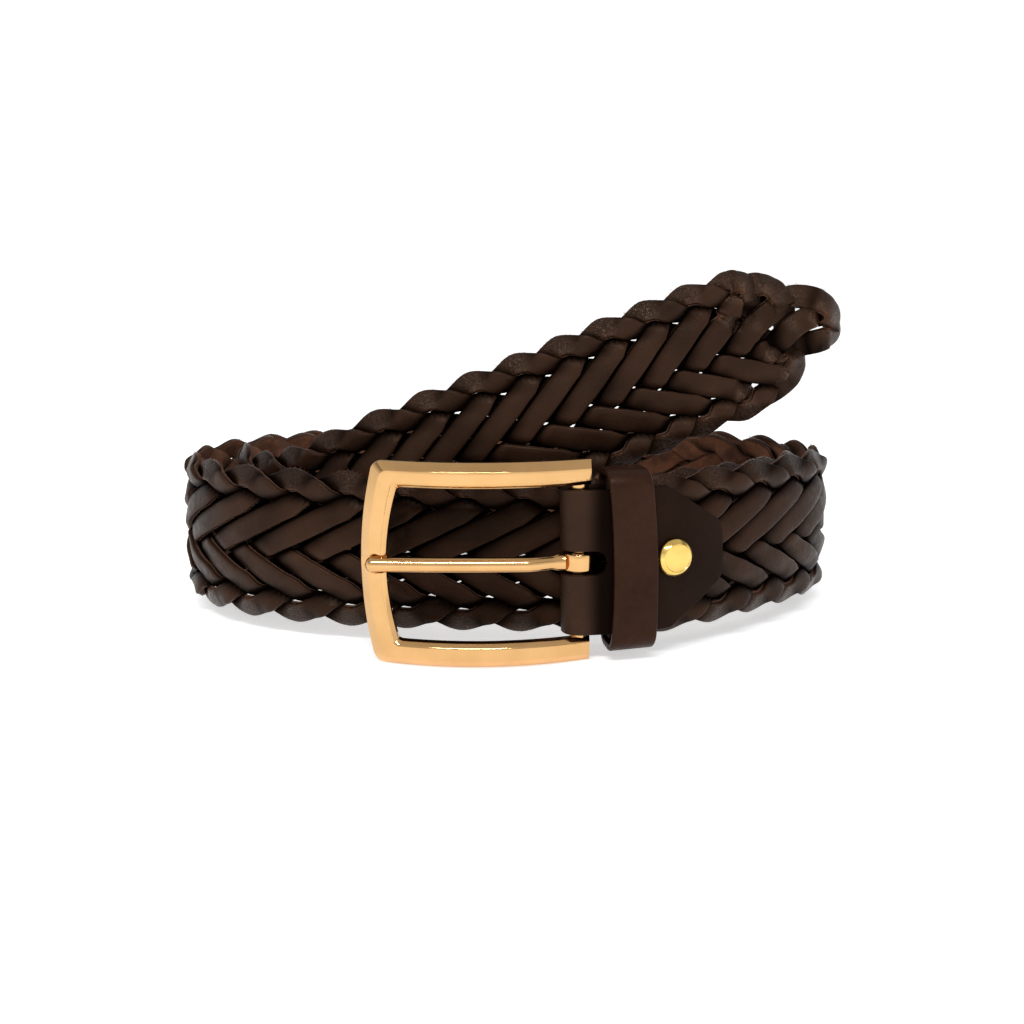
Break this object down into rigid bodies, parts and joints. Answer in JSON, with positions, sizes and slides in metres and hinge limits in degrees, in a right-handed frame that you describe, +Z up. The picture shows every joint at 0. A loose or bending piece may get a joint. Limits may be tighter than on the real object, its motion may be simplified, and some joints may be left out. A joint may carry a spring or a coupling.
{
  "type": "braided leather belt with a pin buckle, coiled",
  "caption": "Flat braided leather belt coiled on its edge, with a bowed gold pin buckle, folded leather chape, keeper loop and rivet; fastens round a waist.",
  "frame": {"origin": "centre of the bounding box's bottom, on the surface that the belt stands on", "axes": "+Z up, the buckle faces -Y, and the strap leaves the buckle towards +X"},
  "size_m": [0.1578, 0.105, 0.081],
  "materials": {
    "braided_leather": "dark brown grained leather strips with rubbed edges",
    "smooth_leather": "dark brown fine-grained leather",
    "keeper_leather": "reddish dark brown smooth leather",
    "rivet_metal": "polished yellow brass",
    "buckle_metal": "polished rose-gold coloured plating"
  },
  "bodies": {
    "root": {"braided_strap": "braided_leather", "chape": "smooth_leather", "keeper_loop": "keeper_leather", "rivet": "rivet_metal"},
    "buckle": {"buckle_frame": "buckle_metal"},
    "tongue": {"buckle_tongue": "buckle_metal"}
  },
  "joints": [
    {"name": "buckle_swing", "type": "hinge", "parent": "root", "child": "buckle", "pos_m": [0.01555, -0.04384, 0.0221], "axis": [0, 0.0418, 0.9991], "range_deg": [0, 45]},
    {"name": "tongue_swing", "type": "hinge", "parent": "buckle", "child": "tongue", "pos_m": [0.01555, -0.04384, 0.0221], "axis": [0, 0.0418, 0.9991], "range_deg": [0, 55]}
  ]
}
